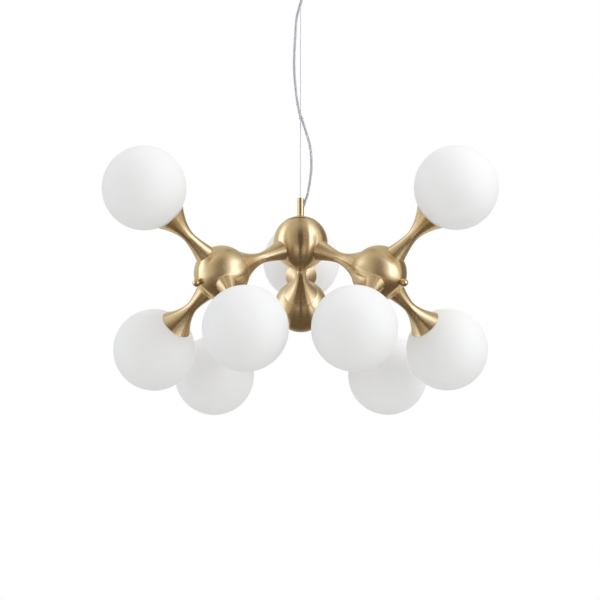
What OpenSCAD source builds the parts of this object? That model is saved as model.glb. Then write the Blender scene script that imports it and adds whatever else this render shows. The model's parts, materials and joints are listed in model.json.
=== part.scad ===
// Pendant lamp with nine glass globes: one centre hub, three link arms, three side hubs
// and three trumpet arms on each side hub, hung from a ceiling canopy by a steel wire.
// Origin: on the ceiling plane, on the lamp's axis. +Z up, +X right, the front faces -Y.

/* [Globes] */
// Outside diameter of a glass globe
globe_d = 120; // [118:0.5:121]
// Thickness of the glass
globe_wall = 2.2; // [1.8:0.1:2.8]
// Distance from a side hub's centre to a globe's centre
globe_reach = 169; // [168:0.5:171]

/* [Hubs] */
// Outside diameter of each hub
hub_d = 80; // [79:0.5:81]
// Wall of the spun hub shells
hub_wall = 2; // [1.6:0.1:2.4]
// Distance between the centre hub and a side hub
hub_spacing = 145; // [144:0.5:147]
// Angle of the link arms below the horizontal
drop_angle = 25.8; // [24:0.1:28]
// Turn of the left and right hubs about their own axes
hub_twist = 5; // [0:0.5:8]

/* [Arms] */
// Radius at the narrowest place of an arm
neck_r = 8.1; // [7.9:0.1:8.6]
// Radius of an arm where it meets the hub at its foot
foot_r = 15; // [14:0.5:16]
// Radius of a globe arm's rim
rim_r = 24.5; // [24:0.5:25.5]
// Metal thickness at an arm's ends
arm_wall = 1.4; // [1.2:0.1:1.8]

/* [Suspension] */
// Distance from the ceiling to the centre hub's centre
drop_height = 442; // [442:1:444]
// Outside diameter of the stem
stem_d = 10; // [9.6:0.1:10.4]
// Diameter of the steel wire
wire_d = 1.2; // [1:0.1:1.2]
// Diameter of the power cord
cord_d = 3.8; // [3.4:0.1:3.8]

/* [Canopy] */
// Diameter of the ceiling canopy
canopy_d = 120; // [116:1:130]
// Depth of the canopy below the ceiling
canopy_h = 32; // [32:0.5:33]
// Distance between the bracket's two screw holes
screw_spacing = 70; // [66:1:74]
// Diameter of the bracket's screw holes
screw_hole_d = 5.2; // [4.5:0.1:6]

/* [Hidden] */
$fn = 96;
SIDES = ["left", "right", "back"];
SPOTS = [["top", "outer", "front"], ["top", "outer", "front"], ["top", "right", "left"]];
PLACES = [for (i = [0:2]) for (k = [0:2]) str(SIDES[i], "_", SPOTS[i][k])];

globe_r = globe_d / 2;
hub_r = hub_d / 2;
hub_in_r = hub_r - hub_wall;
wire_r = wire_d / 2;
cord_r = cord_d / 2;
stem_r = stem_d / 2;
canopy_r = canopy_d / 2;
hub_z = -drop_height;
splay = 90 - drop_angle;

SIDE_AZIMUTH = [210, 330, 90];
SPOT_TURN = [
    [-hub_twist, 120 - hub_twist, 240 - hub_twist],
    [hub_twist, hub_twist - 120, hub_twist - 240],
    [0, 120, 240]
];

fit = 0.05;
gap = 0.3;
seat_gap = 1.2;

// Hub mouth, on the side away from the finial.
mouth_z = 31.3;
mouth_r = sqrt(hub_r * hub_r - mouth_z * mouth_z);
spigot_r = sqrt(hub_in_r * hub_in_r - mouth_z * mouth_z) - 0.5;
spigot_h = 3;
pole_hole_r = 3.2;

// Places along a globe arm, measured from its side hub's centre.
foot_s = hub_r - 3;
neck_s = 72;
rim_s = globe_reach - 56;
rim_stock = 1.2;
foot_power = 1.5;
rim_power = 1.75;
steps = 11;

// Link arm: places measured from the centre hub's centre.
link_neck_s = 71;
link_end_s = hub_spacing - mouth_z;
link_power = 1.8;
link_bore_r = 6;
link_web = 1.4;
link_web_hole_r = 9;

// Threaded pipe, its nut and the lampholder.
pipe_r = 5;
pipe_bore_r = 4;
pipe_start_s = 28;
pipe_end_s = 98;
nut_across = 14;
nut_r = nut_across / 2 / cos(30);
nut_h = 3.6;
nut_s = 33.3;
holder_base_s = 93;
holder_skirt_s = 100.5;
holder_face_s = 114;
holder_base_r = 8.5;
holder_skirt_r = 12.2;

// Threaded neck of a globe.
globe_neck_in_r = 12.5;
globe_neck_out_r = 15;
globe_neck_s = globe_reach - 63;

// Plug-in bulb.
pin_r = 0.6;
pin_offset = 4.5;
pin_start_s = 106;
bulb_foot = [14, 5];
bulb_foot_s = 111.5;
bulb_r = 7.8;
bulb_body_s = 118;
bulb_end_s = 150;
bulb_dome = 4;

// Tie rod through each hub, and its ball nut.
rod_r = 3;
rod_start = 28;
rod_end = 45;
ball_r = 5.8;
ball_z = 45;
ball_collar_r = 4.6;
ball_collar_h = 2.5;

// Lid and stem on the centre hub, measured up from its centre.
lid_z = mouth_z + fit;
lid_foot_z = 27;
lid_boss_r = 9;
stem_foot_z = 22.5;
stem_plug_z = 32;
stem_top_z = 68;
stem_wall = 1;
stem_cap = 1;
stem_collar_r = 6;
stem_collar_z = sqrt(hub_r * hub_r - stem_r * stem_r) + fit;
stem_nut_z = 22.9;

// Side hole of the stem, where the power cord leaves.
exit_x = 4.6;
exit_z = 59;
exit_tilt = 24;
bush_r = 2.6;
bush_in = 4.5;
bush_out = 3;

// Ceiling fitting, measured down from the ceiling.
bracket_len = 100;
bracket_w = 24;
bracket_t = 2;
bracket_drop = 8;
bracket_flat = 20;
bracket_bend = 27;
nipple_r = 5;
nipple_bore_r = 3.5;
nipple_top_z = -4;
nipple_end_z = -27;
cover_t = 1.5;
cover_corner = 6;
cover_rim_z = -0.5;
grip_neck_r = 6.4;
grip_top_z = -20;
pivot_z = -34;
wire_ball_r = 2.6;
gland_x = 13;
gland_r = 4.1;
gland_bore_r = 3;
gland_end_z = -38;
nose_r = 3.8;
nose_flange_r = 4.6;
nose_top_z = -43.2;
nose_end_z = -50;

// Wire ferrule inside the stem's top, and the clip that ties the cord to the wire.
ferrule_r = 2.4;
ferrule_z = 62;
ferrule_h = 4.9;
tie_z = 192;
tie_h = 3;
tie_cord_hole = 2.5;
tie_wire_hole = 0.75;
tie_wall = 0.8;

// Route of the power cord: x, y and height above the centre hub's centre.
CORD_ROUTE = [
    [1.5, 0, 52], [4.6, 0, 59], [8, 0, 67], [10.5, 0, 75], [14, 0, 95], [16, 0, 116],
    [15.5, -1, 137], [13, -2, 153], [8.5, -3, 169], [4, -3.2, 184], [1, -3.2, 192],
    [-2.2, -3, 203], [-4.8, -2.2, 217], [-6.5, -1, 230], [-9, 0, 259], [-9.6, 0, 282],
    [-9, -0.5, 302], [-8, -1, 320], [-6.2, -2, 348], [-3.2, -3, 362], [0, -3.2, 373],
    [2.5, -3, 381], [7, -2, 390], [11, -0.8, 397], [13, 0, 404], [13, 0, 409], [13, 0, 416]
];
CORD_SIDES = 8;

brass = [0.80, 0.64, 0.38];
opal = [0.96, 0.96, 0.95];
steel = [0.72, 0.72, 0.73];
clear_pvc = [0.80, 0.81, 0.82];
ceramic = [0.93, 0.92, 0.88];
silicone = [0.90, 0.90, 0.90];
zinc = [0.66, 0.67, 0.69];

// ---- Frames ----

// Centre hub's frame, with its finial pole along the child's +Z.
module at_centre_pole() {
    translate([0, 0, hub_z]) rotate([180, 0, 90]) children();
}

// Link arm's frame: the child's +Z runs from the centre hub to side hub i.
module along_link(i) {
    translate([0, 0, hub_z]) rotate([0, 90 + drop_angle, SIDE_AZIMUTH[i]]) children();
}

// Side hub's frame: origin at its centre, the child's +Z towards its finial.
module at_side_hub(i) {
    along_link(i) translate([0, 0, hub_spacing]) rotate([0, 0, 180]) children();
}

// Globe arm's frame: the child's +Z runs from side hub i to its globe k.
module along_arm(i, k) {
    at_side_hub(i) rotate([0, 0, SPOT_TURN[i][k]]) rotate([0, splay, 0]) children();
}

// ---- Outlines ----

// Points of a flare from radius r1 at place s1 to radius r0 at place s0.
function flare(s0, r0, s1, r1, power) =
    [for (i = [0:steps]) let (t = i / steps) [r0 + (r1 - r0) * pow(t, power), s0 + (s1 - s0) * t]];

function backwards(points) = [for (i = [len(points) - 1:-1:0]) points[i]];

// Outline of a trumpet's wall between two flares that meet at its neck.
function trumpet(foot, neck, end, foot_radius, end_radius, power) = concat(
    backwards(flare(neck, neck_r, foot, foot_radius, foot_power)),
    flare(neck, neck_r, end, end_radius, power)
);

function trumpet_bore(foot, neck, end, foot_radius, end_radius, power, bore) = concat(
    backwards(flare(neck, bore, end, end_radius, power)),
    flare(neck, bore, foot, foot_radius, foot_power)
);

// Quarter arc between two directions, in degrees.
function arc(centre, r, from, to) =
    [for (i = [0:8]) let (a = from + (to - from) * i / 8) centre + r * [cos(a), sin(a)]];

module ring(outer, inner, z0, z1) {
    translate([0, 0, z0]) difference() {
        cylinder(r = outer, h = z1 - z0);
        translate([0, 0, -1]) cylinder(r = inner, h = z1 - z0 + 2);
    }
}

module hex_nut(bore, z, height) {
    translate([0, 0, z]) difference() {
        cylinder(r = nut_r, h = height, $fn = 6);
        translate([0, 0, -1]) cylinder(r = bore, h = height + 2);
    }
}

// ---- Hubs ----

// Spun shell with an open mouth below and four holes.
module hub_shell(turns) {
    difference() {
        rotate([0, 0, 60]) sphere(r = hub_r);
        rotate([0, 0, 60]) sphere(r = hub_in_r);
        translate([-hub_r, -hub_r, -mouth_z - hub_r]) cube([hub_d, hub_d, hub_r]);
        cylinder(r = pole_hole_r, h = hub_d);
        for (t = turns) rotate([0, splay, t]) cylinder(r = pipe_r + 0.1, h = hub_d);
    }
}

module hub_center() {
    color(brass) at_centre_pole() hub_shell([0, 120, 240]);
}

module side_hub(i) {
    color(brass) at_side_hub(i) hub_shell(SPOT_TURN[i]);
}

// Domed lid that completes the ball, with a boss round the stem.
module hub_lid() {
    color(brass) translate([0, 0, hub_z]) rotate_extrude() polygon(concat(
        [[stem_r + fit, lid_foot_z], [lid_boss_r, lid_foot_z]],
        arc([0, 0], hub_in_r, acos(lid_boss_r / hub_in_r), acos((spigot_r - 2) / hub_in_r)),
        [[spigot_r - 2, lid_foot_z], [spigot_r, lid_foot_z], [spigot_r, lid_z]],
        arc([0, 0], hub_r, asin(lid_z / hub_r), acos((stem_r + fit) / hub_r))
    ));
}

// ---- Arms ----

module link_arm(i) {
    color(brass) along_link(i) difference() {
        union() {
            rotate_extrude() polygon(concat(
                trumpet(foot_s - 2, link_neck_s, link_end_s, foot_r + 1, mouth_r, link_power),
                [[mouth_r, link_end_s - fit], [link_web_hole_r, link_end_s - fit],
                 [link_web_hole_r, link_end_s - link_web]],
                trumpet_bore(foot_s - 2, link_neck_s, link_end_s - link_web, foot_r - arm_wall,
                             mouth_r - 2 * arm_wall, link_power, link_bore_r)
            ));
            ring(spigot_r, spigot_r - 2, link_end_s - link_web, link_end_s + spigot_h);
        }
        sphere(r = hub_r + fit);
    }
}

module globe_arm(i, k) {
    color(brass) along_arm(i, k) difference() {
        rotate_extrude() polygon(concat(
            trumpet(foot_s - 2, neck_s, rim_s + rim_stock, foot_r + 0.8, rim_r + 0.6, rim_power),
            trumpet_bore(foot_s - 2, neck_s, rim_s + rim_stock, foot_r - arm_wall,
                         rim_r + 0.6 - arm_wall, rim_power, pipe_r + 0.15)
        ));
        sphere(r = hub_r + fit);
        translate([0, 0, globe_reach]) sphere(r = globe_r + seat_gap);
    }
}

module arm_pipes() {
    color(zinc) for (i = [0:2]) for (k = [0:2])
        along_arm(i, k) ring(pipe_r, pipe_bore_r, pipe_start_s, pipe_end_s);
}

// Nuts inside the hubs: nine on the pipes, three on the link rods, one under the stem.
module lock_nuts() {
    color(zinc) {
        for (i = [0:2]) for (k = [0:2]) along_arm(i, k) hex_nut(pipe_r + fit, nut_s, nut_h);
        for (i = [0:2]) along_link(i) hex_nut(rod_r + fit, nut_s, nut_h);
        translate([0, 0, hub_z]) hex_nut(stem_r + fit, stem_nut_z, 4);
    }
}

module tie_rods() {
    color(zinc) {
        for (i = [0:2]) along_link(i) ring(rod_r, 0, rod_start, hub_spacing + rod_end);
        at_centre_pole() translate([0, 0, -mouth_z]) cylinder(r = rod_r, h = mouth_z + rod_end);
    }
}

module ball_nut() {
    difference() {
        union() {
            translate([0, 0, ball_z]) sphere(r = ball_r);
            translate([0, 0, hub_r + fit]) cylinder(r = ball_collar_r, h = ball_collar_h);
        }
        translate([0, 0, hub_r - 1]) cylinder(r = rod_r + fit, h = rod_end - hub_r + 1.2);
    }
}

module finials() {
    color(brass) {
        at_centre_pole() ball_nut();
        for (i = [0:2]) at_side_hub(i) ball_nut();
    }
}

// ---- Lights ----

module globe(i, k) {
    color(opal) along_arm(i, k) difference() {
        union() {
            translate([0, 0, globe_reach]) sphere(r = globe_r);
            translate([0, 0, globe_neck_s]) cylinder(r = globe_neck_out_r, h = 8);
        }
        translate([0, 0, globe_reach]) sphere(r = globe_r - globe_wall);
        translate([0, 0, globe_neck_s - 1]) cylinder(r = globe_neck_in_r, h = 10);
    }
}

module gasket(i, k) {
    color(silicone) along_arm(i, k) intersection() {
        translate([0, 0, globe_reach]) difference() {
            sphere(r = globe_r + seat_gap - gap);
            sphere(r = globe_r + gap);
        }
        ring(rim_r - 0.3, rim_r - 5, rim_s - 10, rim_s + 10);
    }
}

module lampholder() {
    difference() {
        union() {
            ring(holder_base_r, pipe_bore_r - 1, holder_base_s, holder_skirt_s + 1);
            ring(holder_skirt_r, pipe_bore_r - 1, holder_skirt_s, holder_face_s - 6);
            translate([0, 0, holder_face_s - 6]) cylinder(r = holder_skirt_r, h = 6);
        }
        translate([0, 0, holder_base_s - 1])
            cylinder(r = pipe_r + fit, h = pipe_end_s - holder_base_s + 1.1);
        translate([-bulb_foot[0] / 2 - 0.4, -bulb_foot[1] / 2 - 0.4, bulb_foot_s - 0.4])
            cube([bulb_foot[0] + 0.8, bulb_foot[1] + 0.8, 10]);
        for (x = [-pin_offset, pin_offset])
            translate([x, 0, pin_start_s - 1]) cylinder(r = pin_r + 0.3, h = 10);
    }
}

module lampholders(i) {
    color(ceramic) for (k = [0:2]) along_arm(i, k) lampholder();
}

module bulb() {
    translate([-bulb_foot[0] / 2, -bulb_foot[1] / 2, bulb_foot_s])
        cube([bulb_foot[0], bulb_foot[1], bulb_body_s - bulb_foot_s + 1]);
    rotate_extrude() polygon(concat(
        [[0, bulb_body_s], [bulb_r, bulb_body_s]],
        arc([bulb_r - bulb_dome, bulb_end_s - bulb_dome], bulb_dome, 0, 90),
        [[0, bulb_end_s]]
    ));
    for (x = [-pin_offset, pin_offset])
        translate([x, 0, pin_start_s]) cylinder(r = pin_r, h = bulb_foot_s - pin_start_s + 1);
}

module bulbs(i) {
    color(opal) for (k = [0:2]) along_arm(i, k) bulb();
}

// ---- Stem, wire and cord ----

// Frame of the stem's side hole, the child's +Z along the cord.
module at_cord_exit() {
    translate([exit_x, 0, hub_z + exit_z]) rotate([0, exit_tilt, 0]) children();
}

module stem() {
    color(brass) difference() {
        translate([0, 0, hub_z]) rotate_extrude() polygon([
            [rod_r + fit, stem_foot_z], [stem_r, stem_foot_z], [stem_r, stem_collar_z],
            [stem_collar_r, stem_collar_z], [stem_collar_r, stem_collar_z + 0.5],
            [stem_r + 0.3, stem_collar_z + 1.2], [stem_r, stem_collar_z + 2.2], [stem_r, stem_top_z],
            [wire_r + gap, stem_top_z], [wire_r + gap, stem_top_z - stem_cap],
            [stem_r - stem_wall, stem_top_z - stem_cap], [stem_r - stem_wall, stem_plug_z],
            [rod_r + fit, stem_plug_z]
        ]);
        at_cord_exit() translate([0, 0, -7]) cylinder(r = bush_r + fit, h = 19);
    }
}

module cord_bush() {
    color(clear_pvc) at_cord_exit() ring(bush_r, cord_r + fit, -bush_in, bush_out);
}

module wire_stops() {
    color(steel) {
        difference() {
            translate([0, 0, pivot_z]) sphere(r = wire_ball_r);
            translate([0, 0, pivot_z - 10]) cylinder(r = wire_r + fit, h = 10);
        }
        translate([0, 0, hub_z]) ring(ferrule_r, wire_r + fit, ferrule_z, ferrule_z + ferrule_h);
    }
}

module suspension_wire() {
    start_z = hub_z + ferrule_z;
    color(steel) translate([0, 0, start_z]) cylinder(r = wire_r, h = pivot_z - 0.2 - start_z);
}

function unit(v) = v / norm(v);
function last(list) = len(list) - 1;

// Point on a smooth curve through the route, t from 0 to the last point's number.
function curve_at(p, t) = let (
    i = min(floor(t), last(p) - 1), u = t - i,
    a = p[max(i - 1, 0)], b = p[i], c = p[i + 1], d = p[min(i + 2, last(p))]
) 0.5 * (2 * b + (c - a) * u + (2 * a - 5 * b + 4 * c - d) * u * u + (3 * b - a - 3 * c + d) * pow(u, 3));

// Ring of points round the curve at place t.
function cord_ring(p, t) = let (
    centre = curve_at(p, t),
    along = unit(curve_at(p, min(t + 0.05, last(p))) - curve_at(p, max(t - 0.05, 0))),
    side = unit(cross(along, [0, 1, 0])),
    up = cross(side, along)
) [for (k = [0:CORD_SIDES - 1]) let (a = 360 * k / CORD_SIDES)
    centre + cord_r * (side * cos(a) + up * sin(a))];

// Tube of eight sides along the route, with two rings to each of its longer stretches.
module power_cord() {
    places = [for (i = [0:last(CORD_ROUTE)], h = [0, 0.5])
        if (i + h <= last(CORD_ROUTE) && (h == 0 || norm(CORD_ROUTE[i + 1] - CORD_ROUTE[i]) > 14)) i + h];
    rings = [for (t = places) cord_ring(CORD_ROUTE, t)];
    points = [for (r = rings) each r];
    n = CORD_SIDES;
    walls = [for (j = [0:last(rings) - 1], k = [0:n - 1])
        [j * n + k, j * n + (k + 1) % n, (j + 1) * n + (k + 1) % n, (j + 1) * n + k]];
    start_cap = [for (k = [n - 1:-1:0]) k];
    end_cap = [for (k = [0:n - 1]) last(rings) * n + k];
    color(clear_pvc) translate([0, 0, hub_z])
        polyhedron(points = points, faces = concat(walls, [start_cap, end_cap]));
}

// Small clip with one loop round the cord and one round the wire.
module cord_tie() {
    at = [CORD_ROUTE[10][0], CORD_ROUTE[10][1]];
    low_z = hub_z + tie_z - tie_h / 2;
    color(clear_pvc) translate([0, 0, low_z]) linear_extrude(height = tie_h) difference() {
        union() {
            translate(at) circle(r = tie_cord_hole + tie_wall);
            circle(r = tie_wire_hole + tie_wall);
        }
        translate(at) circle(r = tie_cord_hole);
        circle(r = tie_wire_hole);
    }
}

// ---- Ceiling fitting ----

// Strip bent down in the middle, so that the nipple's nut fits above it.
module mounting_bracket() {
    half = bracket_len / 2;
    top = [[-half, 0], [-bracket_bend, 0], [-bracket_flat, -bracket_drop],
           [bracket_flat, -bracket_drop], [bracket_bend, 0], [half, 0]];
    low = [[half, -bracket_t], [bracket_bend - 1, -bracket_t],
           [bracket_flat - 1, -bracket_drop - bracket_t], [1 - bracket_flat, -bracket_drop - bracket_t],
           [1 - bracket_bend, -bracket_t], [-half, -bracket_t]];
    color(zinc) difference() {
        translate([0, bracket_w / 2, 0]) rotate([90, 0, 0])
            linear_extrude(height = bracket_w) polygon(concat(top, low));
        translate([0, 0, -bracket_drop - 4]) cylinder(r = nipple_r + fit, h = 8);
        for (x = [-screw_spacing / 2, screw_spacing / 2])
            translate([x, 0, -bracket_t - 1]) cylinder(d = screw_hole_d, h = bracket_t + 2);
    }
}

module centre_nipple() {
    color(zinc) ring(nipple_r, nipple_bore_r, nipple_end_z, nipple_top_z);
}

module nipple_nuts() {
    color(zinc) {
        rotate([0, 0, 30]) hex_nut(nipple_r + fit, -bracket_drop + fit, 3);
        rotate([0, 0, 30]) hex_nut(nipple_r + fit, -bracket_drop - bracket_t - fit - 3, 3);
    }
}

// Three-way connector screwed under the bracket.
module terminal_block() {
    size = [11.5, 22, 9];
    corner = [-19.5, -size[1] / 2, -bracket_drop - bracket_t - fit - size[2]];
    color(ceramic) difference() {
        translate(corner) cube(size);
        for (y = [-7, 0, 7]) {
            translate([-20, y, corner[2] + 3.5]) rotate([0, 90, 0]) cylinder(r = 1.6, h = 13);
            translate([-13.7, y, corner[2] - 1]) cylinder(r = 1.8, h = 3);
        }
    }
}

module canopy_cover() {
    corner = [canopy_r - cover_corner, -canopy_h + cover_corner];
    inner = cover_corner - cover_t;
    color(brass) difference() {
        rotate_extrude() polygon(concat(
            [[grip_neck_r + 0.1, -canopy_h]], arc(corner, cover_corner, -90, 0),
            [[canopy_r, cover_rim_z], [canopy_r - cover_t, cover_rim_z]],
            arc(corner, inner, 0, -90), [[grip_neck_r + 0.1, -canopy_h + cover_t]]
        ));
        translate([gland_x, 0, -canopy_h - 1]) cylinder(r = gland_r + fit, h = 5);
    }
}

// Cord outlet pressed into the cover.
module cord_gland() {
    color(clear_pvc) translate([gland_x, 0, 0]) {
        ring(gland_r, gland_bore_r, gland_end_z, -canopy_h + cover_t + 0.5);
        ring(gland_r + 1, gland_bore_r, -canopy_h + cover_t + fit, -canopy_h + cover_t + 1.5);
        ring(gland_r + 1, gland_bore_r, -canopy_h - fit - 1.2, -canopy_h - fit);
    }
}

// Turns on the nipple, carries the cover and holds the wire's ball.
module grip_body() {
    color(brass) rotate_extrude() polygon([
        [nipple_r + fit, grip_top_z], [grip_neck_r, grip_top_z], [grip_neck_r, -canopy_h - fit],
        [7.8, -canopy_h - fit], [7.8, -canopy_h - 2.4], [6.5, -canopy_h - 3], [6.5, -46],
        [5.9, -46.6], [nose_r + 0.1, -46.6], [nose_r + 0.1, -44.6], [4.9, -44.6], [4.9, -39.8],
        [2, -39.8], [1.45, -36.6], [3.2, -35.2], [3.2, nipple_end_z - gap],
        [nipple_r + fit, nipple_end_z - gap]
    ]);
}

// Sprung sleeve that frees the wire while it is pushed up.
module release_nose() {
    color(brass) rotate_extrude() polygon([
        [2, nose_top_z], [nose_flange_r, nose_top_z], [nose_flange_r, nose_top_z - 1.2],
        [nose_r, nose_top_z - 1.2], [nose_r, nose_end_z + 0.6], [nose_r - 0.6, nose_end_z],
        [2.9, nose_end_z]
    ]);
}

// ---- Drawing ----

mounting_bracket();
centre_nipple();
nipple_nuts();
terminal_block();
canopy_cover();
grip_body();
cord_gland();
release_nose();
wire_stops();
suspension_wire();
power_cord();
cord_tie();
cord_bush();
stem();
hub_lid();
hub_center();
tie_rods();
lock_nuts();
finials();
arm_pipes();
for (i = [0:2]) {
    link_arm(i);
    side_hub(i);
    lampholders(i);
    bulbs(i);
}
for (i = [0:2]) for (k = [0:2]) {
    place = PLACES[3 * i + k];
    globe_arm(i, k);
    gasket(i, k);
    globe(i, k);
}
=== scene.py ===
"""Multi arm chandelier: satin brass hubs and trumpet arms with nine opal globes, hung on a wire."""

import json
import math

import bmesh
import bpy
from mathutils import Euler, Matrix, Vector


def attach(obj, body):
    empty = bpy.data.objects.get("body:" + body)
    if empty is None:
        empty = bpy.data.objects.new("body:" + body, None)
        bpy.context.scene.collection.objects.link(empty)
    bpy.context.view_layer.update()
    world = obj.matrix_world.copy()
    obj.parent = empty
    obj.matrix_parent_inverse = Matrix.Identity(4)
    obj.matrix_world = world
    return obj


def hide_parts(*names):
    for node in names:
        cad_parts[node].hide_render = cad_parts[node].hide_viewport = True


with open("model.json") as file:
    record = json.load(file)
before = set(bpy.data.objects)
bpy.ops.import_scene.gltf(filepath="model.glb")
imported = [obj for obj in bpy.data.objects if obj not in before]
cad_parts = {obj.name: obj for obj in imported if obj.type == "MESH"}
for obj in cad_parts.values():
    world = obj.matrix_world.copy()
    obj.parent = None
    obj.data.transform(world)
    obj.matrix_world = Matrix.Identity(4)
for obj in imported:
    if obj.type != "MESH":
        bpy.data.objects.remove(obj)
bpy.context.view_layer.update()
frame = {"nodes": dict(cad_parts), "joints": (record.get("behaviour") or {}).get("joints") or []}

# ---- Driving sizes, in millimetres unless the name says otherwise ----

MM = 0.001
SEGMENTS = 96
SIDES = ("left", "right", "back")
SPOTS = {
    "left": ("top", "outer", "front"),
    "right": ("top", "outer", "front"),
    "back": ("top", "right", "left"),
}

DROP_HEIGHT = 442
DROP_ANGLE = 25.8
HUB_SPACING = 145
SIDE_AZIMUTH = {"left": 210, "right": 330, "back": 90}

GLOBE_R = 60
GLOBE_WALL = 2.2
GLOBE_REACH = 169
GLOBE_NECK_R = 15
GLOBE_NECK_IN_R = 12.5
GLOBE_NECK_S = 106
SEAT_GAP = 1.2
GASKET_GAP = 0.3

HUB_R = 40
HUB_WALL = 2
MOUTH_Z = 31.3
SPIGOT_GAP = 0.5
SPIGOT_WALL = 2
POLE_HOLE_R = 3.2
PIPE_HOLE_R = 5.1
FIT = 0.05

NECK_R = 8.1
FOOT_R = 15
FOOT_S = 35
FOOT_POWER = 1.5
ARM_WALL = 1.4
ARM_NECK_S = 72
ARM_END_S = 114.2
ARM_END_R = 25.1
ARM_POWER = 1.75
ARM_BORE_R = 5.15
GASKET_OUT_R = 24.2
GASKET_IN_R = 19.5

LINK_NECK_S = 71
LINK_POWER = 1.8
LINK_BORE_R = 6
LINK_WEB = 1.4
LINK_SPIGOT = 3
LINK_WEB_HOLE_R = 9

ROD_BORE_R = 3.05
STEM_R = 5
STEM_IN_R = 4
STEM_FOOT_Z = 22.5
STEM_FLOOR_Z = 32
STEM_TOP_Z = 68
STEM_CAP = 1
WIRE_HOLE_R = 0.9
COLLAR_R = 6
BALL_Z = 45
BALL_R = 5.8
BALL_NECK_R = 4.35
BALL_COLLAR_R = 4.6
WIRE_R = 0.6
FERRULE_Z = 62
CORD_R = 1.9
BUSH_R = 2.6
BUSH_IN = 4.5
BUSH_OUT = 3
EXIT_X = 4.6
EXIT_Z = 59
EXIT_TILT = 24
PIVOT_Z = -34
WIRE_END_Z = PIVOT_Z - 0.2

CANOPY_R = 60
CANOPY_H = 32
COVER_T = 1.5
COVER_CORNER = 6
COVER_RIM_Z = -0.5
GLAND_X = 13
GLAND_R = 4.1
GRIP_TOP_Z = -20
GRIP_NECK_R = 6.4
GRIP_NECK_IN_R = 5.05
GRIP_FLANGE_R = 7.8
GRIP_BARREL_R = 6.5
GRIP_END_Z = -46.6
GRIP_CAVITY_R = 3.2
SPRING_ROOM_R = 4.9
SPRING_ROOM_TOP_Z = -39.8
NOSE_R = 3.8
NOSE_HEAD_R = 4.6
NOSE_IN_R = 2
NOSE_TOP_Z = -43.2
NOSE_HEAD_H = 1.2
NOSE_END_Z = -50

# Route of the power cord, in metres: x, y and height above the centre hub's centre.
CORD_ROUTE = [
    (0.0015, 0, 0.052), (0.0046, 0, 0.059), (0.008, 0, 0.067), (0.0105, 0, 0.075),
    (0.014, 0, 0.095), (0.016, 0, 0.116), (0.0155, -0.001, 0.137), (0.013, -0.002, 0.153),
    (0.0085, -0.003, 0.169), (0.004, -0.0032, 0.184), (0.001, -0.0032, 0.192),
    (-0.0022, -0.003, 0.203), (-0.0048, -0.0022, 0.217), (-0.0065, -0.001, 0.230),
    (-0.009, 0, 0.259), (-0.0096, 0, 0.282), (-0.009, -0.0005, 0.302), (-0.008, -0.001, 0.320),
    (-0.0062, -0.002, 0.348), (-0.0032, -0.003, 0.362), (0, -0.0032, 0.373),
    (0.0025, -0.003, 0.381), (0.007, -0.002, 0.390), (0.011, -0.0008, 0.397),
    (0.013, 0, 0.404), (0.013, 0, 0.409), (0.013, 0, 0.416),
]

CENTRE = Vector((0, 0, -DROP_HEIGHT * MM))

# ---- Places ----


def turn(angles):
    """Rotation by angles about X, then Y, then Z, in degrees."""
    return Euler([math.radians(a) for a in angles], "XYZ").to_matrix().to_4x4()


def shift(x, y, z):
    return Matrix.Translation(Vector((x, y, z)) * MM)


def centre_place():
    return Matrix.Translation(CENTRE)


def pole_place():
    """Centre hub's frame, with its finial pole along +Z."""
    return centre_place() @ turn((180, 0, 90))


def link_place(side):
    """Link arm's frame: +Z runs from the centre hub to the side hub."""
    return centre_place() @ turn((0, 90 + DROP_ANGLE, SIDE_AZIMUTH[side]))


def side_hub_place(side):
    """Side hub's frame: its origin at the hub's centre, +Z towards its finial."""
    return link_place(side) @ shift(0, 0, HUB_SPACING) @ turn((0, 0, 180))


def arm_places():
    """Each globe arm's frame by place name, from the joint that its globe turns on."""
    places = {}
    for joint in frame["joints"]:
        name = joint["name"]
        if name.startswith("globe_") and name.endswith("_turn"):
            axis = Vector(joint["axis"]).normalized()
            place = name[len("globe_"):-len("_turn")]
            turned_to = Vector((0, 0, 1)).rotation_difference(axis).to_matrix().to_4x4()
            centre = Vector(joint["pos_m"]) - axis * GLOBE_REACH * MM
            places[place] = Matrix.Translation(centre) @ turned_to
    return places


ARM_PLACES = arm_places()
ARMS_OF = {side: [ARM_PLACES[f"{side}_{spot}"] for spot in SPOTS[side]] for side in SIDES}

# ---- Camera ----

LENS_MM = 142.44
CAMERA_AT = Vector((-0.0008, -3.3637, -0.9315))
CAMERA_PITCH = 14.10
CAMERA_YAW = 0.25


def add_camera():
    camera = bpy.data.objects.new("camera", bpy.data.cameras.new("camera"))
    camera.data.lens = LENS_MM
    camera.data.sensor_width = 36
    camera.data.clip_end = 50
    around = Matrix.Translation(CENTRE) @ turn((0, 0, CAMERA_YAW))
    camera.matrix_world = around @ Matrix.Translation(CAMERA_AT) @ turn((90 + CAMERA_PITCH, 0, 0))
    bpy.context.scene.collection.objects.link(camera)
    bpy.context.scene.camera = camera


add_camera()

# ---- Outlines of turned pieces ----
# A point is (radius, height, edge). Edge is 1 on a rounded corner, which is painted brighter as
# rubbed wear and a painted highlight, and -1 in the lid's seam, which is painted near black as
# painted shade.


def plain(points):
    return [(r, z, 0.0) for r, z in points]


def arc(centre_r, centre_z, radius, start, end, steps):
    """Arc round (centre_r, centre_z). Angles in degrees, 0 outwards and 90 up."""
    angles = [math.radians(start + (end - start) * i / steps) for i in range(steps + 1)]
    return [(centre_r + radius * math.cos(a), centre_z + radius * math.sin(a)) for a in angles]


def flare(s0, r0, s1, r1, power, steps=26):
    """Trumpet curve from radius r0 at place s0 to radius r1 at place s1."""
    return [
        (r0 + (r1 - r0) * (i / steps) ** power, s0 + (s1 - s0) * i / steps)
        for i in range(steps + 1)
    ]


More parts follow.
